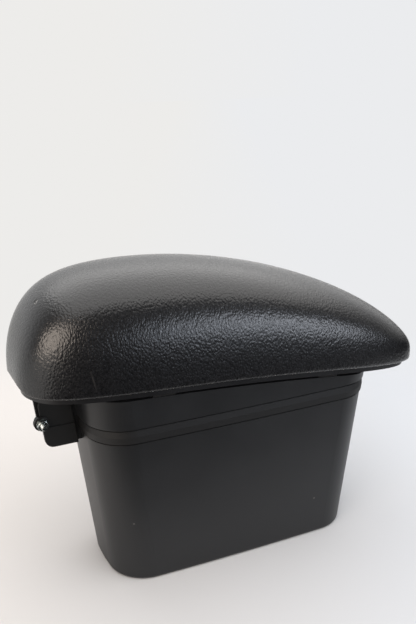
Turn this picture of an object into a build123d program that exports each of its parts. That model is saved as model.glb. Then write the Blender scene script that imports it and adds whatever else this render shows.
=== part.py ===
from build123d import *

import os
from math import asin, cos, pi, radians, sin, sqrt, tan

# Car centre armrest: a padded lid, hinged at the rear, on a tapered storage bin.
# +X is the front (the thin nose of the lid), +Z is up.
# The origin is the centre of the bin's underside, and sizes are in millimetres.

# Driving dimensions: storage bin
foot_length = 195.5
foot_width = 80.7
rear_draft = 7.2
front_draft = 6.0
side_draft = 2.1
corner_radius = 28.0
end_bulge = 4.0
side_bulge = 1.6
wall = 3.0
floor_thickness = 3.0
foot_radius = 3.0
lower_groove_height = 113.0
groove_spacing = 10.5
groove_width = 1.2
groove_depth = 0.6
band_step = 0.8

# Driving dimensions: parting surface between the lid and the bin, a long arc seen from the side
parting_height = 147.8
parting_tilt = 4.6
parting_radius = 1800.0
rim_gap = 1.5

# Driving dimensions: cushion
lid_length = 314.5
lid_tail = 15.8
lid_rear_width = 105.0
lid_front_width = 102.0
plan_power = 3.56
plan_steps = 18
rear_thickness = 66.7
middle_thickness = 72.8
front_thickness = 26.4
end_power = 9.1
side_fullness = 0.62
top_fullness = 0.86
lip_height = 5.8
lip_inset = 4.0
lip_end_power = 40.0
cushion_stations = 15
end_station = 0.96

# Driving dimensions: lid base
base_depth = 5.0
base_inset = 1.2
recess_depth = 2.5
skirt_width = 7.0
skirt_end_width = 3.4
rib_width = 2.0
rib_height = 2.0
rib_count = 5

# Driving dimensions: hinge
pivot_height = 124.7
pivot_setback = 26.2
pad_thickness = 3.7
pad_width = 11.0
plate_thickness = 2.2
bracket_width = 17.0
bracket_depth = 22.6
bracket_bottom = 105.5
bracket_top = 143.5
bracket_corner = 6.5
step_height = 121.0
step_size = 0.6
edge_round = 0.5
boss_diameter = 10.5
boss_height = 1.0
arm_width = 12.0
arm_setback = 2.0
arm_eye_radius = 4.2
flange_length = 26.0
flange_width = 20.0
flange_corner = 2.0
flange_margin = 2.0

# Driving dimensions: fasteners
bolt_diameter = 4.0
bolt_tail = 3.5
bolt_chamfer = 0.4
bolt_head_diameter = 6.8
bolt_head_height = 1.6
nut_flats = 7.0
nut_height = 3.2
washer_diameter = 8.0
washer_thickness = 0.8
bush_diameter = 5.2
bracket_screw_diameter = 4.0
bracket_screw_length = 10.5
bracket_screw_spacing = 24.0
bracket_washer_diameter = 9.0
bracket_washer_thickness = 0.8
small_screw_diameter = 3.5
base_screw_length = 12.0
arm_screw_length = 9.0
arm_screw_spacing = (15.0, 9.0)
arm_screw_margin = 4.5
base_screw_bays = (0.5, 2.5, 4.5)
base_screw_spacing = 50.0
head_ratio = 2.0
head_height_ratio = 0.6

# Driving dimensions: rim buffers
buffer_length = 16.0
buffer_width = 2.0
buffer_pitch = 130.0

# Clearances
side_clearance = 0.3
running_clearance = 0.05
press_clearance = 0.02
hole_clearance = 0.15
seat_clearance = 0.06
rest_clearance = 0.3

# Height and reach that clear the whole object, and what is left on for trimming
trim_height = 300.0
trim_reach = 400.0
trim_allowance = 0.5

os.makedirs("parts", exist_ok=True)


def save(piece, name):
    """Label a finished piece and write its STEP file."""
    piece.part.label = name
    export_step(piece.part, f"parts/{name}.step")


# Bin plan: a rounded rectangle with bulged sides that grows with height


def rear_face(height):
    """X of the bin's rear face on the centre line at a height."""
    return -foot_length / 2 - height * tan(radians(rear_draft))


def front_face(height):
    """X of the bin's front face on the centre line at a height."""
    return foot_length / 2 + height * tan(radians(front_draft))


def side_face(height):
    """Half-width of the bin at its middle at a height."""
    return foot_width / 2 + height * tan(radians(side_draft))


def bin_plan(height, grow):
    """Sketch of the bin's plan at a height, grown outwards on every side."""
    rear = rear_face(height) - grow
    front = front_face(height) + grow
    side = side_face(height) + grow
    middle = (rear + front) / 2
    corners = [
        (rear + end_bulge, -side + side_bulge),
        (front - end_bulge, -side + side_bulge),
        (front - end_bulge, side - side_bulge),
        (rear + end_bulge, side - side_bulge),
    ]
    with BuildSketch(Plane.XY.offset(height)) as plan:
        with BuildLine():
            ThreePointArc(corners[0], (middle, -side), corners[1])
            ThreePointArc(corners[1], (front, 0), corners[2])
            ThreePointArc(corners[2], (middle, side), corners[3])
            ThreePointArc(corners[3], (rear, 0), corners[0])
        make_face()
        fillet(plan.vertices(), corner_radius + grow)
    return plan.sketch


# Parting surface: concentric arcs in the XZ plane

arc_centre_x = -parting_radius * sin(radians(parting_tilt))
arc_centre_z = parting_height - parting_radius * cos(radians(parting_tilt))


def parting_z(x, depth=0.0):
    """Height of the surface that lies a depth below the parting arc."""
    radius = parting_radius - depth
    return arc_centre_z + sqrt(radius**2 - (x - arc_centre_x) ** 2)


def above_parting(depth):
    """Side sketch of everything above a depth below the parting arc."""
    ends = [(x, parting_z(x, depth)) for x in (-trim_reach, 0, trim_reach)]
    with BuildSketch(Plane.XZ) as region:
        with BuildLine():
            ThreePointArc(*ends)
            Polyline(ends[2], (trim_reach, trim_height), (-trim_reach, trim_height), ends[0])
        make_face()
    return region.sketch


def lid_seat(x, y, depth):
    """Plane on the surface a depth below the parting arc, with its normal out of the lid's top."""
    lean = asin((x - arc_centre_x) / parting_radius)
    origin = (x - depth * sin(lean), y, parting_z(x) - depth * cos(lean))
    return Plane(origin=origin, x_dir=(cos(lean), 0, -sin(lean)), z_dir=(sin(lean), 0, cos(lean)))


def trim_to_layer(top_depth, bottom_depth):
    """Keep only what lies between two depths below the parting arc in the open part."""
    extrude(above_parting(top_depth), amount=trim_reach, both=True, mode=Mode.SUBTRACT)
    extrude(above_parting(bottom_depth), amount=trim_reach, both=True, mode=Mode.INTERSECT)


# Lid plan: a superellipse that narrows a little to the front, set out from the hinge pivot

pivot_x = rear_face(pivot_height) - pivot_setback
lid_rear = pivot_x - lid_tail
lid_front = lid_rear + lid_length
lid_centre = (lid_rear + lid_front) / 2
lip_plan_inset = lip_inset + base_inset
lid_top = parting_height + middle_thickness + rear_thickness


def lid_half_width(share, side_inset=0.0):
    """Half-width of the lid at a share of its half-length, from -1 at the rear to 1 at the front."""
    middle = (lid_rear_width + lid_front_width) / 4
    slope = (lid_front_width - lid_rear_width) / 4
    fullness = (1 - abs(share) ** plan_power) ** (1 / plan_power)
    return (middle + slope * share - side_inset) * fullness


def lid_plan(end_inset, side_inset):
    """Sketch of the lid's plan, drawn in at the ends and the sides."""
    half_length = lid_length / 2 - end_inset
    shares = [-cos(pi * step / plan_steps) for step in range(1, plan_steps)]
    near = [(lid_centre + half_length * s, -lid_half_width(s, side_inset)) for s in shares]
    far = [(x, -y) for x, y in reversed(near)]
    rear_end = (lid_centre - half_length, 0)
    front_end = (lid_centre + half_length, 0)
    with BuildSketch() as plan:
        with BuildLine():
            Spline(rear_end, *near, front_end, *far, periodic=True)
        make_face()
    return plan.sketch


# Storage bin: tapered shell with two grooves below the rim and a creased band between them

rim_depth = base_depth + rim_gap
bin_reach = lid_top
upper_groove_height = lower_groove_height + groove_spacing
middle_band = lower_groove_height + groove_width
rim_band = upper_groove_height + groove_width
crease_height = (middle_band + upper_groove_height) / 2
bands = [
    (0, lower_groove_height, 0, 0),
    (lower_groove_height, middle_band, -groove_depth, -groove_depth),
    (middle_band, crease_height, band_step, band_step),
    (crease_height, upper_groove_height, band_step, 0),
    (upper_groove_height, rim_band, -groove_depth, -groove_depth),
    (rim_band, bin_reach, band_step, band_step),
]

with BuildPart() as bin_cavity:
    loft([bin_plan(floor_thickness, -wall), bin_plan(bin_reach, -wall)], ruled=True)
    fillet(bin_cavity.edges().group_by(Axis.Z)[0], foot_radius)


def pad_face(height):
    """X of the rear mounting pad's face at a height."""
    return rear_face(height) - pad_thickness


pad_bottom = bracket_bottom + edge_round
pad_top = bracket_top - edge_round
screw_heights = [
    (bracket_bottom + bracket_top - bracket_screw_spacing) / 2,
    (bracket_bottom + bracket_top + bracket_screw_spacing) / 2,
]


def wall_normal(height, offset):
    """Plane on the bin's inner rear face at a height, moved inwards, with its normal to the rear."""
    lean = radians(rear_draft)
    inner = rear_face(height) + wall
    origin = (inner + offset * cos(lean), 0, height + offset * sin(lean))
    return Plane(origin=origin, x_dir=(0, 1, 0), z_dir=(-cos(lean), 0, -sin(lean)))


with BuildPart() as storage_bin:
    for low, high, low_grow, high_grow in bands:
        loft([bin_plan(low, low_grow), bin_plan(high, high_grow)], ruled=True)
    fillet(storage_bin.edges().group_by(Axis.Z)[0], foot_radius)
    with BuildSketch(Plane.XZ):
        with BuildLine():
            Polyline(
                (pad_face(pad_bottom), pad_bottom),
                (rear_face(pad_bottom) + wall / 2, pad_bottom),
                (rear_face(pad_top) + wall / 2, pad_top),
                (pad_face(pad_top), pad_top),
                close=True,
            )
        make_face()
    extrude(amount=pad_width / 2, both=True)
    add(bin_cavity.part, mode=Mode.SUBTRACT)
    extrude(above_parting(rim_depth), amount=trim_reach, both=True, mode=Mode.SUBTRACT)
    for height in screw_heights:
        with Locations(wall_normal(height, wall)):
            Cylinder(
                bracket_screw_diameter / 2 + hole_clearance,
                bracket_screw_length,
                align=(Align.CENTER, Align.CENTER, Align.MIN),
                mode=Mode.SUBTRACT,
            )
save(storage_bin, "storage_bin")

# Rim buffers: rubber strips on the rim that the lid rests on

with BuildPart() as rim_buffers:
    for x in (-buffer_pitch / 2, buffer_pitch / 2):
        height = parting_z(x, rim_depth)
        bulge_share = (2 * x / (front_face(height) - rear_face(height))) ** 2
        middle = side_face(height) + band_step - side_bulge * bulge_share - (wall + band_step) / 2
        with BuildSketch(Plane.XY):
            with Locations((x, -middle), (x, middle)):
                Rectangle(buffer_length, buffer_width)
        extrude(amount=trim_height)
    trim_to_layer(base_depth + rest_clearance, rim_depth)
save(rim_buffers, "rim_buffers")

# Hinge layers, as distances from the middle plane to the near side

web_near = bracket_width / 2
web_far = web_near - plate_thickness
arm_near = web_far - side_clearance
arm_far = arm_near - plate_thickness
boss_face = web_near + boss_height
nut_seat = boss_face + washer_thickness
head_seat = arm_far - side_clearance - washer_thickness
bolt_end = nut_seat + nut_height + bolt_tail


def pivot_disc(layer, diameter, bore=0.0):
    """Sketch of a disc or a ring round the hinge axis, on a layer of the hinge."""
    with BuildSketch(Plane.XZ.offset(layer)) as disc:
        with Locations((pivot_x, pivot_height)):
            Circle(diameter / 2)
            if bore:
                Circle(bore / 2, mode=Mode.SUBTRACT)
    return disc.sketch


# Hinge bracket: a pressed steel angle on the pad, its web stepped and with an eye for the bolt


def bracket_outline(layer, top, depth, rounded_corners=0):
    """Side sketch of the bracket up to a height, with its rear corners rounded from the bottom up."""
    with BuildSketch(Plane.XZ.offset(layer)) as outline:
        with BuildLine():
            Polyline(
                (pad_face(bracket_bottom), bracket_bottom),
                (pad_face(top), top),
                (pad_face(top) - depth, top),
                (pad_face(bracket_bottom) - depth, bracket_bottom),
                close=True,
            )
        make_face()
        if rounded_corners:
            rear_corners = outline.vertices().sort_by(Axis.X)[:2].sort_by(Axis.Y)
            fillet(rear_corners[:rounded_corners], bracket_corner)
    return outline.sketch


with BuildPart() as bracket_step:
    extrude(bracket_outline(web_far, step_height, bracket_depth, 1), amount=plate_thickness + step_size)
    fillet(bracket_step.faces().sort_by(Axis.Y)[0].edges(), edge_round)

with BuildPart() as hinge_bracket:
    extrude(bracket_outline(web_far, bracket_top, bracket_depth, 2), amount=plate_thickness)
    fillet(hinge_bracket.faces().sort_by(Axis.Y)[0].edges(), edge_round)
    add(bracket_step.part)
    extrude(bracket_outline(-web_near, bracket_top, plate_thickness), amount=web_near + web_far)
    extrude(pivot_disc(web_far, boss_diameter), amount=plate_thickness + boss_height)
    fillet(hinge_bracket.edges().group_by(Axis.Y)[0], edge_round)
    bolt_hole = bolt_diameter + 2 * hole_clearance
    extrude(pivot_disc(web_far, bolt_hole), amount=bracket_width, mode=Mode.SUBTRACT)
    for height in screw_heights:
        with Locations(wall_normal(height, 0)):
            Cylinder(
                bracket_screw_diameter / 2 + running_clearance,
                bracket_screw_length,
                align=(Align.CENTER, Align.CENTER, Align.MIN),
                mode=Mode.SUBTRACT,
            )
save(hinge_bracket, "hinge_bracket")


def pan_screw(seat, diameter, length):
    """Add a pan-head screw in the open part: its head under the seat plane, its shank along the normal."""
    head_radius = diameter * head_ratio / 2
    head = diameter * head_height_ratio
    profile_plane = Plane(origin=seat.origin, x_dir=seat.x_dir, z_dir=-seat.y_dir)
    with BuildSketch(profile_plane) as profile:
        with BuildLine():
            Line((0, length), (diameter / 2, length))
            Line((diameter / 2, length), (diameter / 2, 0))
            Line((diameter / 2, 0), (head_radius, 0))
            Line((head_radius, 0), (head_radius, -head / 2))
            Line((head_radius, -head / 2), (head_radius - head / 2, -head))
            Line((head_radius - head / 2, -head), (0, -head))
            Line((0, -head), (0, length))
        make_face()
    revolve(profile.sketch, axis=Axis(seat.origin, seat.z_dir))


with BuildPart() as bracket_washers:
    for height in screw_heights:
        with BuildSketch(wall_normal(height, seat_clearance + bracket_washer_thickness)):
            Circle(bracket_washer_diameter / 2)
            Circle(bracket_screw_diameter / 2 + hole_clearance, mode=Mode.SUBTRACT)
        extrude(amount=bracket_washer_thickness)
save(bracket_washers, "bracket_washers")

with BuildPart() as bracket_screws:
    for height in screw_heights:
        seat = wall_normal(height, seat_clearance + bracket_washer_thickness)
        pan_screw(seat, bracket_screw_diameter, bracket_screw_length)
save(bracket_screws, "bracket_screws")

# Hinge bolt, its washers and its nut: the threaded tail stands out on the near side

bolt_fit = bolt_diameter + 2 * running_clearance

with BuildPart() as hinge_washers:
    for layer in (head_seat, boss_face):
        extrude(pivot_disc(layer, washer_diameter, bolt_hole), amount=washer_thickness)
save(hinge_washers, "hinge_washers")

with BuildPart() as hinge_nut:
    with BuildSketch(Plane.XZ.offset(nut_seat)):
        with Locations((pivot_x, pivot_height)):
            RegularPolygon(nut_flats / 2, 6, major_radius=False)
            Circle(bolt_fit / 2, mode=Mode.SUBTRACT)
    extrude(amount=nut_height)
save(hinge_nut, "hinge_nut")

with BuildPart() as hinge_bolt:
    extrude(pivot_disc(head_seat, bolt_diameter), amount=bolt_end - head_seat)
    chamfer(hinge_bolt.edges().group_by(Axis.Y)[0], bolt_chamfer)
    extrude(pivot_disc(head_seat, bolt_head_diameter), amount=-bolt_head_height)
    fillet(hinge_bolt.edges().group_by(Axis.Y)[-1], bolt_head_height / 2)
save(hinge_bolt, "hinge_bolt")

# Armrest cushion: a loft through cross-sections from the round rear to the thin nose


def thickness(share):
    """Cushion thickness on the centre line before the ends round off, from -1 to 1 along the lid."""
    rear_weight = share * (share - 1) / 2
    middle_weight = 1 - share**2
    front_weight = share * (share + 1) / 2
    return rear_thickness * rear_weight + middle_thickness * middle_weight + front_thickness * front_weight


def cushion_section(share):
    """Sketch of the cushion's cross-section at a share of its half-length."""
    x = lid_centre + share * lid_length / 2
    half_width = lid_half_width(share)
    crown = (thickness(share) - lip_height) * (1 - abs(share) ** end_power) ** 0.5
    drop = (lip_height + trim_allowance) * (1 - abs(share) ** lip_end_power) ** 0.5
    lip = half_width * (1 - lip_inset / lid_half_width(0))
    widest = Plane(origin=(x, 0, parting_z(x) + lip_height), x_dir=(0, 1, 0), z_dir=(1, 0, 0))
    with BuildSketch(widest) as section:
        with BuildLine():
            Line((-lip, -drop), (lip, -drop))
            for side in (-1, 1):
                rim = side * half_width
                Bezier((side * lip, -drop), (rim, -drop * side_fullness), (rim, 0))
                Bezier((rim, 0), (rim, crown * side_fullness), (rim * top_fullness, crown), (0, crown))
        make_face()
    return section.sketch


screw_seat_depth = recess_depth + press_clearance
recess_rear = lid_rear + lip_plan_inset + skirt_end_width
recess_front = lid_front - lip_plan_inset - skirt_end_width
flange_rear = recess_rear + flange_margin
flange_front = flange_rear + flange_length
flange_middle = (flange_rear + flange_front) / 2
flange_far = flange_width - arm_near
arm_screw_middle = flange_far - arm_screw_margin - arm_screw_spacing[1] / 2
arm_screw_places = [
    (flange_middle + column * arm_screw_spacing[0] / 2, arm_screw_middle + row * arm_screw_spacing[1] / 2)
    for column in (-1, 1)
    for row in (-1, 1)
]
rib_pitch = (recess_front - flange_front) / (rib_count + 1)
ribs_start = flange_front + rib_pitch / 2
base_screw_places = [
    (ribs_start + bay * rib_pitch, row * base_screw_spacing / 2)
    for bay in base_screw_bays
    for row in (-1, 1)
]
flange_bottom = recess_depth + plate_thickness
arm_seat_depth = flange_bottom + press_clearance
screw_sockets = [(place, screw_seat_depth, base_screw_length) for place in base_screw_places]
screw_sockets += [(place, arm_seat_depth, arm_screw_length) for place in arm_screw_places]
station_turns = [end_station * (2 * step / (cushion_stations - 1) - 1) for step in range(cushion_stations)]
station_shares = [sin(turn * pi / 2) for turn in station_turns]

with BuildPart() as armrest_cushion:
    loft([cushion_section(share) for share in station_shares])
    extrude(above_parting(-seat_clearance), amount=trim_reach, both=True, mode=Mode.INTERSECT)
    for (x, y), depth, length in screw_sockets:
        with Locations(lid_seat(x, y, depth)):
            Cylinder(
                small_screw_diameter / 2 + running_clearance,
                length + running_clearance,
                align=(Align.CENTER, Align.CENTER, Align.MIN),
                mode=Mode.SUBTRACT,
            )
save(armrest_cushion, "armrest_cushion")

# Lid base: a moulded board under the cushion, with a recess and ribs on its underside

with BuildPart() as base_recess:
    extrude(lid_plan(lip_plan_inset + skirt_end_width, lip_plan_inset + skirt_width), amount=trim_height)
    trim_to_layer(recess_depth, base_depth + running_clearance)

with BuildPart() as base_ribs:
    with BuildSketch():
        with Locations(*[(ribs_start + n * rib_pitch, 0) for n in range(rib_count)]):
            Rectangle(rib_width, lid_rear_width)
        with Locations(((ribs_start + lid_front) / 2, 0)):
            Rectangle(lid_front - ribs_start, rib_width)
        add(lid_plan(lip_plan_inset + rib_width, lip_plan_inset + rib_width), mode=Mode.INTERSECT)
    extrude(amount=trim_height)
    trim_to_layer(recess_depth / 2, recess_depth + rib_height)

with BuildPart() as lid_base:
    extrude(lid_plan(lip_plan_inset, lip_plan_inset), amount=trim_height)
    trim_to_layer(0, base_depth)
    add(base_recess.part, mode=Mode.SUBTRACT)
    add(base_ribs.part)
    for x, y in base_screw_places + arm_screw_places:
        with Locations(lid_seat(x, y, base_depth)):
            Cylinder(
                small_screw_diameter / 2 + hole_clearance,
                2 * base_depth,
                align=(Align.CENTER, Align.CENTER, Align.CENTER),
                mode=Mode.SUBTRACT,
            )
save(lid_base, "lid_base")

with BuildPart() as base_screws:
    for x, y in base_screw_places:
        pan_screw(lid_seat(x, y, screw_seat_depth), small_screw_diameter, base_screw_length)
save(base_screws, "base_screws")

# Hinge arm: a pressed steel angle beside the bracket's web, with a flange under the lid base

with BuildPart() as arm_flange:
    with BuildSketch():
        with Locations((flange_middle, flange_far - flange_width / 2)):
            RectangleRounded(flange_length, flange_width, flange_corner)
    extrude(amount=trim_height)
    trim_to_layer(recess_depth, flange_bottom)
    for x, y in arm_screw_places:
        with Locations(lid_seat(x, y, base_depth)):
            Cylinder(small_screw_diameter / 2 + hole_clearance, 2 * flange_bottom, mode=Mode.SUBTRACT)

with BuildPart() as hinge_arm:
    arm_top = parting_z(flange_middle, recess_depth + plate_thickness / 2)
    arm_rear = pivot_x - arm_setback
    arm_top_rear = arm_rear + rear_face(arm_top) - rear_face(pivot_height)
    with BuildSketch(Plane.XZ.offset(arm_far)):
        with BuildLine():
            Polyline(
                (arm_rear, pivot_height),
                (arm_top_rear, arm_top),
                (arm_top_rear + arm_width, arm_top),
                (pivot_x + arm_eye_radius, pivot_height),
                close=True,
            )
        make_face()
    extrude(amount=plate_thickness)
    extrude(pivot_disc(arm_far, 2 * arm_eye_radius), amount=plate_thickness)
    add(arm_flange.part)
    bush_hole = bush_diameter + 2 * press_clearance
    extrude(pivot_disc(arm_far, bush_hole), amount=plate_thickness, mode=Mode.SUBTRACT)
save(hinge_arm, "hinge_arm")

with BuildPart() as hinge_bush:
    extrude(pivot_disc(arm_far, bush_diameter, bolt_fit), amount=plate_thickness)
save(hinge_bush, "hinge_bush")

with BuildPart() as hinge_arm_screws:
    for x, y in arm_screw_places:
        pan_screw(lid_seat(x, y, arm_seat_depth), small_screw_diameter, arm_screw_length)
save(hinge_arm_screws, "hinge_arm_screws")
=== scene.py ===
from math import cos, pi, radians, sin, sqrt, tan

import bmesh
import bpy
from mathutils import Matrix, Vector


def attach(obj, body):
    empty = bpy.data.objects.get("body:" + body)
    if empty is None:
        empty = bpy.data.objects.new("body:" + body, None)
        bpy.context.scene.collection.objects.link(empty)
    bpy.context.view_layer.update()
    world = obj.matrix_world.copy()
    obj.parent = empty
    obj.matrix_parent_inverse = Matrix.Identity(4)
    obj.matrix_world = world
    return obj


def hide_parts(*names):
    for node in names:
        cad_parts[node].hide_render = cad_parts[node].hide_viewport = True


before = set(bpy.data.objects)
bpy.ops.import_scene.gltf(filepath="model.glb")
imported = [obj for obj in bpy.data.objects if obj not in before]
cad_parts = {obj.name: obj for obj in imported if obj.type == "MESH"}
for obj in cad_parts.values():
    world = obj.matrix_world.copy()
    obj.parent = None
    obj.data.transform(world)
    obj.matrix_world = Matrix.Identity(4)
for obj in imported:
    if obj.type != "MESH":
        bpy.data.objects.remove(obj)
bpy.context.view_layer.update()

scene = bpy.context.scene
mm = 0.001

# Lid values, as in the part's source
lid_length = 314.5 * mm
lid_centre = 1.747 * mm
rear_half_width = 52.5 * mm
front_half_width = 51.0 * mm
plan_power = 3.56
rear_thickness = 66.7 * mm
middle_thickness = 72.8 * mm
front_thickness = 26.4 * mm
end_power = 9.1
side_fullness = 0.62
top_fullness = 0.86
lip_height = 5.8 * mm
lip_inset = 4.0 * mm
lip_end_power = 40
parting_height = 147.8 * mm
parting_tilt = radians(4.6)
parting_radius = 1800 * mm
parting_centre_x = -parting_radius * sin(parting_tilt)
parting_centre_z = parting_height - parting_radius * cos(parting_tilt)

# Hinge values, as the part's source works them out, with depths along the bolt from the lid's middle
pivot = Vector((-139.703, 0, 124.7)) * mm
head_top = -1.1 * mm
head_seat = -2.7 * mm
nut_seat = -10.3 * mm
nut_face = -13.5 * mm
bolt_end = -17.0 * mm
bolt_radius = 2.0 * mm
bolt_head_radius = 3.4 * mm
nut_half_flats = 3.5 * mm
rear_draft = radians(7.2)

# Range over which a pattern turns one shade or gloss into the other. Noise mostly keeps to it
noise_low = 0.3
noise_high = 0.7


def linear(hex_colour):
    """An sRGB hex colour as linear red, green, blue and alpha."""
    channels = [int(hex_colour[i:i + 2], 16) / 255 for i in (1, 3, 5)]
    return tuple(c / 12.92 if c <= 0.04045 else ((c + 0.055) / 1.055) ** 2.4 for c in channels) + (1.0,)


def add(tree, kind, inputs=None, **settings):
    """Adds a node with its settings. An input is a value or another node's output."""
    node = tree.nodes.new(kind)
    for name, value in settings.items():
        setattr(node, name, value)
    for name, value in (inputs or {}).items():
        if isinstance(value, bpy.types.NodeSocket):
            tree.links.new(value, node.inputs[name])
        else:
            node.inputs[name].default_value = value
    return node


def per_metre(size_mm):
    """Pattern scale for features of that size."""
    return 1 / (size_mm * mm)


def new_finish(name):
    """A named material with its shader and the piece's own coordinates."""
    finish = bpy.data.materials.new(name)
    finish.use_nodes = True
    tree = finish.node_tree
    tree.nodes.clear()
    place = add(tree, "ShaderNodeTexCoord").outputs["Object"]
    shader = add(tree, "ShaderNodeBsdfPrincipled")
    add(tree, "ShaderNodeOutputMaterial", {"Surface": shader.outputs["BSDF"]})
    return finish, tree, place, shader


def two_tone(tree, pattern, dark, light):
    """Colour that drifts with a pattern between two close shades of one finish."""
    share = add(tree, "ShaderNodeMapRange", {"Value": pattern, "From Min": noise_low, "From Max": noise_high})
    shade = add(tree, "ShaderNodeMix", {"Factor": share.outputs[0], "A": linear(dark), "B": linear(light)},
                data_type="RGBA")
    return shade.outputs[2]


def mark(tree, place, middle_mm, half_size_mm, along=(1, 0, 0), solid_share=0.55):
    """One where a small mark lies on a surface, fading to nothing at its edge."""
    turn = Vector(along).to_track_quat("X", "Z").to_euler()
    local = add(tree, "ShaderNodeMapping",
                {"Vector": place, "Location": Vector(middle_mm) * mm, "Rotation": turn,
                 "Scale": Vector(half_size_mm) * mm}, vector_type="TEXTURE")
    reach = add(tree, "ShaderNodeVectorMath", {0: local.outputs[0]}, operation="LENGTH")
    fade = add(tree, "ShaderNodeMapRange",
               {"Value": reach.outputs["Value"], "From Min": solid_share, "From Max": 1.0,
                "To Min": 1.0, "To Max": 0.0})
    return fade.outputs[0]


# Finishes

# Leatherette grain in millimetres. The real pores are finer, and are drawn coarse enough to show
wander_mm = 1.6
wander_reach_mm = 0.6
pebble_mm = 1.15
pebble_squeeze = (1.0, 1.0, 0.65)
pebble_edges = (0.15, 0.75)
pebble_depth_mm = 0.14
pore_mm = 0.8
pore_depth_mm = 0.03
swell_mm = 45
swell_depth_mm = 1.5
nick_depth_mm = 2.0


def leatherette_finish():
    """Moulded leatherette: a pebble grain that breaks up a soft gloss, and a bloom on slanting views."""
    finish, tree, place, shader = new_finish("black_leatherette")
    wander = add(tree, "ShaderNodeTexNoise", {"Vector": place, "Scale": per_metre(wander_mm), "Detail": 2.0})
    shift = add(tree, "ShaderNodeVectorMath",
                {0: wander.outputs["Color"], "Scale": wander_reach_mm * mm}, operation="SCALE")
    bent = add(tree, "ShaderNodeVectorMath", {0: place, 1: shift.outputs[0]}, operation="ADD")
    squeezed = add(tree, "ShaderNodeMapping", {"Vector": bent.outputs[0], "Scale": pebble_squeeze})
    pebbles = add(tree, "ShaderNodeTexVoronoi",
                  {"Vector": squeezed.outputs[0], "Scale": per_metre(pebble_mm)}, feature="SMOOTH_F1")
    domes = add(tree, "ShaderNodeMapRange",
                {"Value": pebbles.outputs["Distance"], "From Min": pebble_edges[0],
                 "From Max": pebble_edges[1], "To Min": 1.0, "To Max": 0.0}).outputs[0]
    pores = add(tree, "ShaderNodeTexNoise",
                {"Vector": place, "Scale": per_metre(pore_mm), "Detail": 3.0}).outputs["Fac"]
    swell = add(tree, "ShaderNodeTexNoise",
                {"Vector": place, "Scale": per_metre(swell_mm), "Detail": 1.0}).outputs["Fac"]
    nick = mark(tree, place, (-137.9, -9.1, 210.9), (1.8, 1.8, 1.8))
    scratch = mark(tree, place, (-113.7, -46.4, 165.9), (8.5, 2.5, 0.7), (3.56, -0.97, -15.4),
                   solid_share=0.0)
    soft = add(tree, "ShaderNodeBump", {"Height": swell, "Distance": swell_depth_mm * mm, "Strength": 0.3})
    fine = add(tree, "ShaderNodeBump",
               {"Height": pores, "Distance": pore_depth_mm * mm, "Strength": 0.5, "Normal": soft.outputs[0]})
    grain = add(tree, "ShaderNodeBump",
                {"Height": domes, "Distance": pebble_depth_mm * mm, "Strength": 1.0,
                 "Normal": fine.outputs[0]})
    dent = add(tree, "ShaderNodeBump",
               {"Height": nick, "Distance": nick_depth_mm * mm, "Strength": 1.0,
                "Normal": grain.outputs[0]}, invert=True)
    skin_tone = two_tone(tree, domes, "#08080a", "#111113")
    scraped = add(tree, "ShaderNodeMix", {"Factor": scratch, "A": skin_tone, "B": linear("#2a2827")},
                  data_type="RGBA")
    roughness = add(tree, "ShaderNodeMapRange",
                    {"Value": pores, "From Min": noise_low, "From Max": noise_high,
                     "To Min": 0.25, "To Max": 0.33})
    tree.links.new(scraped.outputs[2], shader.inputs["Base Color"])
    tree.links.new(roughness.outputs[0], shader.inputs["Roughness"])
    tree.links.new(dent.outputs[0], shader.inputs["Normal"])
    shader.inputs["IOR"].default_value = 1.64
    shader.inputs["Sheen Weight"].default_value = 0.40
    shader.inputs["Sheen Roughness"].default_value = 0.15
    return finish


# Bin surface in millimetres. The real etch is finer, and is drawn coarse enough to show
etch_mm = 0.6
etch_depth_mm = 0.02
mould_cloud_mm = 35
# Middle and half-height of the strip between the grooves, which is painted with shade
painted_shade_band_mm = 118.6
painted_shade_band_half_mm = 6.4
endless_mm = 10000


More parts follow.
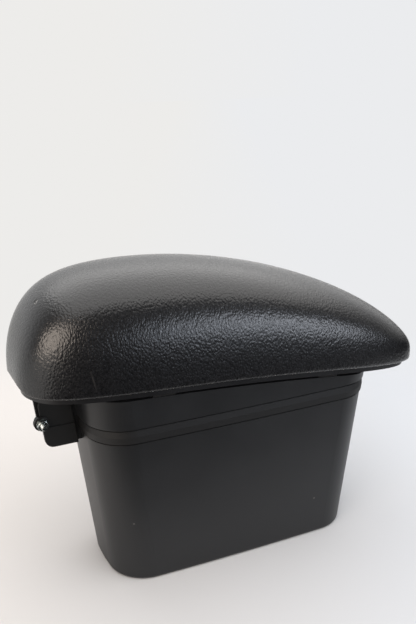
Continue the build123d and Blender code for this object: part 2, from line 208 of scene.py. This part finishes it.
def bin_finish():
    """Injection-moulded ABS with a satin etch: even, soft reflections, a few dust specks and a scuff.
    The upper half of the strip between the grooves slopes back and would catch more light than in the
    photo, so the strip is duller and darker."""
    finish, tree, place, shader = new_finish("black_abs_satin")
    etch = add(tree, "ShaderNodeTexNoise", {"Vector": place, "Scale": per_metre(etch_mm), "Detail": 2.0})
    cloud = add(tree, "ShaderNodeTexNoise",
                {"Vector": place, "Scale": per_metre(mould_cloud_mm), "Detail": 3.0}).outputs["Fac"]
    rear_speck = mark(tree, place, (-87.2, -38.7, 49.4), (0.8, 0.8, 0.6))
    front_speck = mark(tree, place, (60.3, -40.9, 32.1), (0.9, 0.9, 0.7))
    dust = add(tree, "ShaderNodeMath", {0: rear_speck, 1: front_speck}, operation="MAXIMUM")
    scuff = mark(tree, place, (-111.6, -27.2, 112.6), (2.6, 1.5, 0.9), (1.3, -2.1, -2.3))
    # Painted shade: the strip between the grooves is darker and duller, where its sloping upper half would
    # catch more light
    painted_shade_band = mark(tree, place, (0, 0, painted_shade_band_mm), (endless_mm, endless_mm, painted_shade_band_half_mm),
                       solid_share=0.85)
    shade_band_and_scuff = add(tree, "ShaderNodeMath", {0: painted_shade_band, 1: scuff}, operation="MAXIMUM").outputs[0]
    tone = two_tone(tree, cloud, "#121315", "#151618")
    # The strip's darker tone is painted shade; the scuff's darker tone is wear
    shaded_and_scuffed_tone = add(tree, "ShaderNodeMix", {"Factor": shade_band_and_scuff, "A": tone, "B": linear("#070708")},
                    data_type="RGBA")
    dusty_tone = add(tree, "ShaderNodeMix",
                     {"Factor": dust.outputs[0], "A": shaded_and_scuffed_tone.outputs[2], "B": linear("#5a5856")},
                     data_type="RGBA")
    satin = add(tree, "ShaderNodeMapRange",
                {"Value": cloud, "From Min": noise_low, "From Max": noise_high,
                 "To Min": 0.40, "To Max": 0.44})
    roughness = add(tree, "ShaderNodeMapRange", {"Value": shade_band_and_scuff, "To Min": satin.outputs[0], "To Max": 0.56})
    relief = add(tree, "ShaderNodeBump",
                 {"Height": etch.outputs["Fac"], "Distance": etch_depth_mm * mm, "Strength": 0.3})
    tree.links.new(dusty_tone.outputs[2], shader.inputs["Base Color"])
    tree.links.new(roughness.outputs[0], shader.inputs["Roughness"])
    tree.links.new(relief.outputs[0], shader.inputs["Normal"])
    shader.inputs["IOR"].default_value = 1.49
    return finish


def clouded_finish(name, dark, light, cloud_mm, roughness_range, relief_mm, relief_depth_mm):
    """A plain finish whose shade and gloss drift in soft clouds over a surface relief, which is drawn
    coarser than the real one where that is too fine to show."""
    finish, tree, place, shader = new_finish(name)
    cloud = add(tree, "ShaderNodeTexNoise",
                {"Vector": place, "Scale": per_metre(cloud_mm), "Detail": 4.0}).outputs["Fac"]
    relief = add(tree, "ShaderNodeTexNoise", {"Vector": place, "Scale": per_metre(relief_mm), "Detail": 2.0})
    roughness = add(tree, "ShaderNodeMapRange",
                    {"Value": cloud, "From Min": noise_low, "From Max": noise_high,
                     "To Min": roughness_range[0], "To Max": roughness_range[1]})
    bump = add(tree, "ShaderNodeBump",
               {"Height": relief.outputs["Fac"], "Distance": relief_depth_mm * mm, "Strength": 0.4})
    tree.links.new(two_tone(tree, cloud, dark, light), shader.inputs["Base Color"])
    tree.links.new(roughness.outputs[0], shader.inputs["Roughness"])
    tree.links.new(bump.outputs[0], shader.inputs["Normal"])
    return finish, shader


leatherette = leatherette_finish()
satin_abs = bin_finish()
# Moulded polypropylene of the lid base: a little glossier than the bin, with faint flow marks
polypropylene, shader = clouded_finish("black_polypropylene", "#121214", "#161618", cloud_mm=20,
                                       roughness_range=(0.33, 0.37), relief_mm=0.5, relief_depth_mm=0.02)
shader.inputs["IOR"].default_value = 1.49
# Black electrocoat on pressed steel: dull, with a faint orange peel and paler, glossier rubs
electrocoat, shader = clouded_finish("black_electrocoat", "#080808", "#0e0e0e", cloud_mm=9,
                                     roughness_range=(0.55, 0.42), relief_mm=0.9, relief_depth_mm=0.04)
shader.inputs["IOR"].default_value = 1.45
# Bright zinc plate on steel: metal with a cloudy grey bloom and fine tool marks
zinc, shader = clouded_finish("bright_zinc_plate", "#9aa09f", "#c9cecc", cloud_mm=2.5,
                              roughness_range=(0.18, 0.32), relief_mm=0.35, relief_depth_mm=0.01)
shader.inputs["Metallic"].default_value = 1.0
# Soft rubber of the rim buffers: very dull, almost without reflections. Its shades are darkened with painted
# shade, so the buffers sink into the dark gap between lid and bin
rubber, shader = clouded_finish("soft_black_rubber", "#080808", "#111111", cloud_mm=3,
                                roughness_range=(0.75, 0.9), relief_mm=0.6, relief_depth_mm=0.05)
shader.inputs["IOR"].default_value = 1.52
# Turned acetal of the bush: milky and waxy
acetal, shader = clouded_finish("natural_acetal", "#d6d4cd", "#e4e2dc", cloud_mm=2,
                                roughness_range=(0.35, 0.45), relief_mm=0.4, relief_depth_mm=0.02)
shader.inputs["IOR"].default_value = 1.48

for name, finish in {
    "storage_bin": satin_abs,
    "lid_base": polypropylene,
    "hinge_bracket": electrocoat,
    "hinge_arm": electrocoat,
    "rim_buffers": rubber,
    "hinge_bush": acetal,
    "bracket_washers": zinc,
    "hinge_washers": zinc,
}.items():
    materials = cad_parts[name].data.materials
    materials.clear()
    materials.append(finish)


# Ways of making a piece

sharp_edge = radians(35)
nut_sharp_edge = radians(25)


def skin_over(name, rings, poles=None):
    """Closed mesh over rings of points, shut by two poles, or running back into its first ring."""
    bm = bmesh.new()
    rows = [[bm.verts.new(point) for point in ring] for ring in rings]
    following = rows[1:] if poles else rows[1:] + rows[:1]
    for row, after in zip(rows, following):
        for i in range(len(row)):
            k = (i + 1) % len(row)
            bm.faces.new((row[i], row[k], after[k], after[i]))
    for pole, row in zip(poles or (), (rows[0], rows[-1])):
        tip = bm.verts.new(pole)
        for i in range(len(row)):
            bm.faces.new((row[i], row[(i + 1) % len(row)], tip))
    bmesh.ops.recalc_face_normals(bm, faces=bm.faces)
    mesh = bpy.data.meshes.new(name)
    bm.to_mesh(mesh)
    bm.free()
    mesh.shade_smooth()
    return mesh


def new_piece(mesh, finish, body, node):
    """Puts a mesh in the scene on its body, in the place of the CAD node that it stands for."""
    piece = bpy.data.objects.new(mesh.name, mesh)
    scene.collection.objects.link(piece)
    mesh.materials.clear()
    mesh.materials.append(finish)
    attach(piece, body)
    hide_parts(node)
    return piece


def grown_mesh(name, start, tree, values):
    """Plain mesh that a Geometry Nodes tree makes from a starting mesh and named values."""
    holder = bpy.data.objects.new(name, start)
    scene.collection.objects.link(holder)
    grower = holder.modifiers.new(name, "NODES")
    grower.node_group = tree
    for socket in tree.interface.items_tree:
        if socket.name in values:
            grower[socket.identifier] = values[socket.name]
    graph = bpy.context.evaluated_depsgraph_get()
    mesh = bpy.data.meshes.new_from_object(holder.evaluated_get(graph))
    mesh.name = name
    bpy.data.objects.remove(holder)
    mesh.shade_smooth()
    mesh.set_sharp_from_angle(angle=sharp_edge)
    return mesh


def new_tree(name, sockets):
    """Geometry Nodes tree with a geometry in and out and named inputs."""
    tree = bpy.data.node_groups.new(name, "GeometryNodeTree")
    tree.interface.new_socket("Geometry", in_out="OUTPUT", socket_type="NodeSocketGeometry")
    tree.interface.new_socket("Geometry", in_out="INPUT", socket_type="NodeSocketGeometry")
    for label, kind in sockets:
        tree.interface.new_socket(label, in_out="INPUT", socket_type=kind)
    return tree, add(tree, "NodeGroupInput").outputs


# Armrest cushion

cushion_stations = 180
underside_points = 10
lower_side_points = 12
crown_points = 44


def parting_z(x):
    """Height of the curved surface between lid and bin."""
    return parting_centre_z + sqrt(parting_radius ** 2 - (x - parting_centre_x) ** 2)


def lid_half_width(share):
    """Half the lid's width at a share of its half-length, with the plan's round ends."""
    straight = (rear_half_width + front_half_width + share * (front_half_width - rear_half_width)) / 2
    return straight * max(0.0, 1 - abs(share) ** plan_power) ** (1 / plan_power)


def lid_thickness(share):
    """Thickness along the lid: a curve through the rear, middle and front values."""
    slope = (front_thickness - rear_thickness) / 2
    bow = (front_thickness + rear_thickness) / 2 - middle_thickness
    return middle_thickness + slope * share + bow * share ** 2


def cushion_half_section(share):
    """Points of half a section, from the middle of the underside out and up to the crown."""
    half_width = lid_half_width(share)
    crown = (lid_thickness(share) - lip_height) * sqrt(1 - abs(share) ** end_power)
    drop = lip_height * sqrt(1 - abs(share) ** lip_end_power)
    lip = half_width * (1 - lip_inset / lid_half_width(0))
    points = [(lip * i / underside_points, -drop) for i in range(underside_points)]
    for i in range(lower_side_points):
        t = i / lower_side_points
        y = (1 - t) ** 3 * lip + (1 - (1 - t) ** 3) * half_width
        points.append((y, -drop * (1 - t ** 3)))
    for i in range(crown_points + 1):
        t = i / crown_points
        y = half_width * ((1 - t) ** 3 + 3 * t * (1 - t) ** 2 + 3 * t * t * (1 - t) * top_fullness)
        points.append((y, crown * (3 * t * (1 - t) ** 2 * side_fullness + 3 * t * t * (1 - t) + t ** 3)))
    return points


def lid_point(share):
    """Middle of the lid at its widest level."""
    x = lid_centre + share * lid_length / 2
    return Vector((x, 0, parting_z(x) + lip_height))


def cushion_mesh():
    """Skin of the moulded cushion, section by section from the rear to the nose."""
    rings = []
    for station in range(1, cushion_stations):
        share = -cos(pi * station / cushion_stations)
        half = cushion_half_section(share)
        section = half + [(-y, z) for y, z in reversed(half[1:-1])]
        rings.append([lid_point(share) + Vector((0, y, z)) for y, z in section])
    return skin_over("armrest_cushion_skin", rings, (lid_point(-1), lid_point(1)))


cushion = new_piece(cushion_mesh(), leatherette, "lid", "armrest_cushion")

# Hinge nut and bolt

around_pivot = 96
face_radius = 3.3 * mm
bore_chamfer = 0.3 * mm
chamfer_slope = tan(radians(30))
thread_pitch = 0.7 * mm
thread_depth = 0.38 * mm
thread_flat = 0.1
thread_rows_per_turn = 10
end_chamfer = 0.5 * mm
key_half_flats = 1.25 * mm
key_depth = 0.9 * mm
head_round = 0.8 * mm
head_round_steps = 6


def hexagon_radius(turn, half_flats):
    """Distance from the middle of a hexagon to its edge, with two flats level."""
    return half_flats / cos(turn % (pi / 3) - pi / 6)


def pivot_ring(radius_at, depth_at):
    """Ring about the pivot, with its radius and its depth along the bolt given for each turn."""
    turns = [2 * pi * i / around_pivot for i in range(around_pivot)]
    return [pivot + Vector((radius_at(t) * cos(t), depth_at(t), radius_at(t) * sin(t))) for t in turns]


def nut_mesh():
    """Chamfered hexagon nut with a countersunk bore."""
    rings = []
    for face, inwards in ((nut_seat, -1), (nut_face, 1)):
        round_rings = [(bolt_radius, bore_chamfer), (bolt_radius + bore_chamfer, 0), (face_radius, 0)]
        half = [pivot_ring(lambda t, r=r: r, lambda t, d=d: face + inwards * d) for r, d in round_rings]
        half.append(pivot_ring(
            lambda t: hexagon_radius(t, nut_half_flats),
            lambda t: face + inwards * (hexagon_radius(t, nut_half_flats) - face_radius) * chamfer_slope))
        rings += half if face == nut_seat else half[::-1]
    mesh = skin_over("hinge_nut_chamfered", rings)
    mesh.set_sharp_from_angle(angle=nut_sharp_edge)
    return mesh


def bolt_mesh():
    """Low round-head bolt with a hexagon key recess and a rolled thread."""
    rings = [pivot_ring(lambda t: hexagon_radius(t, key_half_flats), lambda t, d=d: head_top - d)
             for d in (key_depth, 0)]
    for i in range(head_round_steps + 1):
        turn = pi / 2 * i / head_round_steps
        radius = bolt_head_radius - head_round * (1 - sin(turn))
        depth = head_top - head_round * (1 - cos(turn))
        rings.append(pivot_ring(lambda t, r=radius: r, lambda t, d=depth: d))
    rings.append(pivot_ring(lambda t: bolt_head_radius, lambda t: head_seat))
    rings.append(pivot_ring(lambda t: bolt_radius, lambda t: head_seat))
    row_step = thread_pitch / thread_rows_per_turn
    for row in range(int((nut_seat - bolt_end) / row_step) + 1):
        depth = nut_seat - row * row_step
        room = bolt_radius - end_chamfer + (depth - bolt_end)

        def crest(turn, depth=depth, room=room):
            phase = (depth / thread_pitch + turn / (2 * pi)) % 1
            flank = (abs(2 * phase - 1) - thread_flat) / (1 - 2 * thread_flat)
            return min(bolt_radius - thread_depth * min(1, max(0, flank)), room)

        rings.append(pivot_ring(crest, lambda t, d=depth: d))
    recess_middle = pivot + Vector((0, head_top - key_depth, 0))
    mesh = skin_over("hinge_bolt_threaded", rings, (recess_middle, pivot + Vector((0, bolt_end, 0))))
    mesh.set_sharp_from_angle(angle=sharp_edge)
    return mesh


new_piece(nut_mesh(), zinc, "bin", "hinge_nut")
new_piece(bolt_mesh(), zinc, "bin", "hinge_bolt")

# Cross-recess screws, set where the CAD has them

head_ratio = 2.0
head_height_ratio = 0.6
wing_half_width_ratio = 0.17
wing_reach_ratio = 0.58
recess_depth_ratio = 0.5
recess_soft_edge = 0.12 * mm
pan_shoulder_inset = 0.12
pan_shoulder_drop = 0.3
pan_side_drop = 0.5
shank_share = 0.8
tip_radius_ratio = 0.2
around_screw = 48
recess_rings = 16
weld_reach = 0.001 * mm


def cross_screw_mesh(diameter, length):
    """Pan-head screw with a cross recess, its head's top at the origin and its shank down."""
    head_radius = diameter * head_ratio / 2
    head_height = diameter * head_height_ratio
    wing_half_width = wing_half_width_ratio * head_radius
    wing_reach = wing_reach_ratio * head_radius
    recess_depth = recess_depth_ratio * head_height
    flat_radius = head_radius - head_height / 2
    turns = [2 * pi * i / around_screw for i in range(around_screw)]

    def recess(x, y):
        """Depth of the cross below the head's top."""
        depths = []
        for along, across in ((abs(x), abs(y)), (abs(y), abs(x))):
            inside = min(wing_half_width - across, wing_reach - along)
            depths.append(min(1.0, max(0.0, inside / recess_soft_edge + 0.5)))
        return recess_depth * max(depths)

    rings = []
    for i in range(1, recess_rings + 1):
        r = flat_radius * i / recess_rings
        rings.append([(r * cos(t), r * sin(t), -recess(r * cos(t), r * sin(t))) for t in turns])
    outside = [
        (head_radius - pan_shoulder_inset * head_height, -pan_shoulder_drop * head_height),
        (head_radius, -pan_side_drop * head_height),
        (head_radius, -head_height),
        (diameter / 2, -head_height),
        (diameter / 2, -head_height - shank_share * length),
        (tip_radius_ratio * diameter, -head_height - length),
    ]
    for r, z in outside:
        rings.append([(r * cos(t), r * sin(t), z) for t in turns])
    return skin_over("cross_screw", rings, ((0, 0, -recess_depth), (0, 0, -head_height - length)))


def solid_middles(node):
    """Middle of each solid of a CAD node."""
    bm = bmesh.new()
    bm.from_mesh(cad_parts[node].data)
    bmesh.ops.remove_doubles(bm, verts=bm.verts, dist=weld_reach)
    left = set(bm.verts)
    middles = []
    while left:
        found = [left.pop()]
        for vertex in found:
            joined = {edge.other_vert(vertex) for edge in vertex.link_edges} & left
            left -= joined
            found += joined
        corners = [Vector([pick(v.co[i] for v in found) for i in range(3)]) for pick in (min, max)]
        middles.append((corners[0] + corners[1]) / 2)
    bm.free()
    return middles


def screw_tree():
    """Tree that sets one screw on each point, with its head turned to the point's aim."""
    tree, given = new_tree("set_of_screws", (("Screw", "NodeSocketObject"), ("Finish", "NodeSocketMaterial")))
    one_screw = add(tree, "GeometryNodeObjectInfo", {"Object": given["Screw"]})
    aim = add(tree, "GeometryNodeInputNamedAttribute", {"Name": "aim"}, data_type="FLOAT_VECTOR")
    turned = add(tree, "FunctionNodeAlignRotationToVector", {"Vector": aim.outputs[0]}, axis="Z")
    placed = add(tree, "GeometryNodeInstanceOnPoints",
                 {"Points": given["Geometry"], "Instance": one_screw.outputs["Geometry"],
                  "Rotation": turned.outputs[0]})
    plain = add(tree, "GeometryNodeRealizeInstances", {"Geometry": placed.outputs[0]})
    finished = add(tree, "GeometryNodeSetMaterial",
                   {"Geometry": plain.outputs[0], "Material": given["Finish"]})
    add(tree, "NodeGroupOutput", {"Geometry": finished.outputs[0]})
    return tree


set_of_screws = screw_tree()


def screws(node, body, diameter_mm, length_mm, aim_at):
    """Cross-recess screws in the place of a CAD node, each head facing its own way."""
    model = bpy.data.objects.new("one_screw", cross_screw_mesh(diameter_mm * mm, length_mm * mm))
    half_overall = (diameter_mm * head_height_ratio + length_mm) / 2 * mm
    middles = solid_middles(node)
    aims = [Vector(aim_at(middle)).normalized() for middle in middles]
    points = bpy.data.meshes.new(node + "_points")
    points.from_pydata([m + a * half_overall for m, a in zip(middles, aims)], [], [])
    aim = points.attributes.new("aim", "FLOAT_VECTOR", "POINT")
    aim.data.foreach_set("vector", [c for a in aims for c in a])
    mesh = grown_mesh(node + "_cross_recess", points, set_of_screws, {"Screw": model, "Finish": zinc})
    bpy.data.objects.remove(model)
    new_piece(mesh, zinc, body, node)


def under_lid(middle):
    """Direction out of the lid's underside, square to the curved parting surface."""
    return (parting_centre_x - middle.x, 0, parting_centre_z - middle.z)


def into_bin(middle):
    """Direction out of the bin's leaning rear wall, towards its inside, wherever the screw is."""
    return (cos(rear_draft), 0, sin(rear_draft))


screws("base_screws", "lid", diameter_mm=3.5, length_mm=12, aim_at=under_lid)
screws("hinge_arm_screws", "lid", diameter_mm=3.5, length_mm=9, aim_at=under_lid)
screws("bracket_screws", "bin", diameter_mm=4, length_mm=10.5, aim_at=into_bin)

# Studio: a pale table that runs into a pale distance, with reaches in metres from the part's middle

table_half = 4.0
shadow_reach = 0.32
plain_reach = 0.54
tint_reach = 0.45
to_right = (0.901, -0.434, 0)
to_front = (-0.15, -0.99, 0)
dim_front = (0.04, 0.20)
dim_right = (0.30, 0.48)
pale_left = (-0.36, -0.18)
dim_room = "#262626"
distance_left = "#edecea"
distance_right = "#ebecee"


def pale_table():
    """Matt card with painted light and shade: a touch warmer on the left, and cooler and a shade darker on
    the right. It takes the shadow near the part and is plain pale far off. Glossy surfaces see a dim room in
    it, towards the viewer and at the right."""
    finish, tree, place, shader = new_finish("pale_card")
    side = add(tree, "ShaderNodeVectorMath", {0: place, 1: to_right}, operation="DOT_PRODUCT")
    across = add(tree, "ShaderNodeMapRange",
                 {"Value": side.outputs["Value"], "From Min": -tint_reach, "From Max": tint_reach})
    # Painted light and shade: warmer on the left, cooler and a shade darker on the right
    tone = two_tone(tree, across.outputs[0], "#d8d5d3", "#cacdd2")
    shader.inputs["Roughness"].default_value = 0.9
    shader.inputs["Specular IOR Level"].default_value = 0.1
    tree.links.new(tone, shader.inputs["Base Color"])
    path = add(tree, "ShaderNodeLightPath").outputs
    mirrored = add(tree, "ShaderNodeMath", {0: path["Is Glossy Ray"], 1: path["Is Transmission Ray"]},
                   operation="MAXIMUM")
    seen = add(tree, "ShaderNodeMath", {0: path["Is Camera Ray"], 1: mirrored.outputs[0]},
               operation="MAXIMUM")
    reach = add(tree, "ShaderNodeVectorMath", {0: place}, operation="LENGTH")
    far = add(tree, "ShaderNodeMapRange",
              {"Value": reach.outputs["Value"], "From Min": shadow_reach, "From Max": plain_reach},
              interpolation_type="SMOOTHSTEP")
    far_seen = add(tree, "ShaderNodeMath", {0: far.outputs[0], 1: seen.outputs[0]}, operation="MULTIPLY")
    nearer = add(tree, "ShaderNodeVectorMath", {0: place, 1: to_front}, operation="DOT_PRODUCT")
    front = add(tree, "ShaderNodeMapRange",
                {"Value": nearer.outputs["Value"], "From Min": dim_front[0], "From Max": dim_front[1]},
                interpolation_type="SMOOTHSTEP")
    right = add(tree, "ShaderNodeMapRange",
                {"Value": side.outputs["Value"], "From Min": dim_right[0], "From Max": dim_right[1]},
                interpolation_type="SMOOTHSTEP")
    past_left = add(tree, "ShaderNodeMapRange",
                    {"Value": side.outputs["Value"], "From Min": pale_left[0], "From Max": pale_left[1]},
                    interpolation_type="SMOOTHSTEP")
    ahead = add(tree, "ShaderNodeMath", {0: front.outputs[0], 1: past_left.outputs[0]}, operation="MULTIPLY")
    room = add(tree, "ShaderNodeMath", {0: ahead.outputs[0], 1: right.outputs[0]}, operation="MAXIMUM")
    dim = add(tree, "ShaderNodeMath", {0: room.outputs[0], 1: mirrored.outputs[0]}, operation="MULTIPLY")
    distance_tone = two_tone(tree, across.outputs[0], distance_left, distance_right)
    shown = add(tree, "ShaderNodeMix", {"Factor": dim.outputs[0], "A": distance_tone, "B": linear(dim_room)},
                data_type="RGBA")
    glow = add(tree, "ShaderNodeEmission", {"Color": shown.outputs[2], "Strength": 1.0})
    plain = add(tree, "ShaderNodeMath", {0: far_seen.outputs[0], 1: dim.outputs[0]}, operation="MAXIMUM")
    mixed = add(tree, "ShaderNodeMixShader", {0: plain.outputs[0], 1: shader.outputs[0], 2: glow.outputs[0]})
    tree.links.new(mixed.outputs[0], tree.nodes["Material Output"].inputs["Surface"])
    return finish


table_corners = [(x * table_half, y * table_half, 0) for x, y in ((-1, -1), (1, -1), (1, 1), (-1, 1))]
table_mesh = bpy.data.meshes.new("studio_table")
table_mesh.from_pydata(table_corners, [], [(0, 1, 2, 3)])
table_mesh.materials.append(pale_table())
table = bpy.data.objects.new("studio_table", table_mesh)
scene.collection.objects.link(table)


def soft_lamp(name, position, target, size, watts, colour):
    """Soft rectangular lamp that faces a target."""
    lamp = bpy.data.lights.new(name, "AREA")
    lamp.shape = "RECTANGLE"
    lamp.size, lamp.size_y = size
    lamp.energy = watts
    lamp.color = linear(colour)[:3]
    holder = bpy.data.objects.new(name, lamp)
    holder.location = position
    holder.rotation_euler = (Vector(target) - Vector(position)).to_track_quat("-Z", "Y").to_euler()
    scene.collection.objects.link(holder)


soft_lamp("overhead_softbox", (0.45, 0.30, 1.25), (0.45, 0.30, 0),
          size=(2.5, 2.8), watts=39, colour="#fffdfb")
soft_lamp("left_window", (-1.40, -1.06, 0.61), (-0.13, -0.04, 0.18),
          size=(1.30, 0.90), watts=19, colour="#fff0e2")
soft_lamp("right_window", (1.08, -1.31, 0.33), (0.10, -0.04, 0.18),
          size=(0.70, 0.36), watts=5.5, colour="#eef4ff")
soft_lamp("front_window", (0.42, -1.15, 0.21), (0.0, -0.04, 0.18),
          size=(0.50, 0.20), watts=1.2, colour="#e8f1ff")

# Air around the part, with limits as shares of the direction to the back or to the right

to_back = (0.15, 0.98, 0.0)
# In glossy surfaces the room is dim ahead of the part and white behind it
room_limits = (-0.4, 0.6)
room_ahead = 0.05
room_behind = 1.0
# The soft light on other surfaces is stronger from the viewer's side
light_limits = (-0.7, 0.7)
light_ahead = 0.6
light_behind = 0.05
# The camera sees a pale distance, warmer on the left and cooler on the right
tint_turn = 0.3

studio_air = bpy.data.worlds.new("studio_air")
studio_air.use_nodes = True
scene.world = studio_air
air = studio_air.node_tree
air.nodes.clear()
direction = add(air, "ShaderNodeTexCoord").outputs["Generated"]
away = add(air, "ShaderNodeVectorMath", {0: direction, 1: to_back}, operation="DOT_PRODUCT")
room_strength = add(air, "ShaderNodeMapRange",
                    {"Value": away.outputs["Value"], "From Min": room_limits[0], "From Max": room_limits[1],
                     "To Min": room_ahead, "To Max": room_behind})
light_strength = add(air, "ShaderNodeMapRange",
                     {"Value": away.outputs["Value"], "From Min": light_limits[0],
                      "From Max": light_limits[1], "To Min": light_ahead, "To Max": light_behind})
side = add(air, "ShaderNodeVectorMath", {0: direction, 1: to_right}, operation="DOT_PRODUCT")
across = add(air, "ShaderNodeMapRange",
             {"Value": side.outputs["Value"], "From Min": -tint_turn, "From Max": tint_turn})
distance_tone = two_tone(air, across.outputs[0], distance_left, distance_right)
soft_light = add(air, "ShaderNodeBackground",
                 {"Color": linear("#ffffff"), "Strength": light_strength.outputs[0]})
mirrored_room = add(air, "ShaderNodeBackground",
                    {"Color": linear("#ffffff"), "Strength": room_strength.outputs[0]})
pale_distance = add(air, "ShaderNodeBackground", {"Color": distance_tone, "Strength": 1.0})
light_path = add(air, "ShaderNodeLightPath").outputs
lit = add(air, "ShaderNodeMixShader",
          {0: light_path["Is Glossy Ray"], 1: soft_light.outputs[0], 2: mirrored_room.outputs[0]})
shown = add(air, "ShaderNodeMixShader",
            {0: light_path["Is Camera Ray"], 1: lit.outputs[0], 2: pale_distance.outputs[0]})
add(air, "ShaderNodeOutputWorld", {"Surface": shown.outputs[0]})

# Camera, fitted to the photograph's frame of 416 by 624
frame_height_px = 624
focal_px = 820
sensor_mm = 36.0
camera_place = Vector((-254.91, -506.1, 373.43)) * mm
camera_yaw = radians(25.705)
camera_pitch = radians(18.774)

lens = bpy.data.cameras.new("photo_camera")
lens.sensor_fit = "VERTICAL"
lens.sensor_height = sensor_mm
lens.lens = focal_px / frame_height_px * sensor_mm
camera = bpy.data.objects.new("photo_camera", lens)
camera.location = camera_place
camera.rotation_euler = (pi / 2 - camera_pitch, 0, -camera_yaw)
scene.collection.objects.link(camera)
scene.camera = camera

scene.view_settings.view_transform = "Standard"
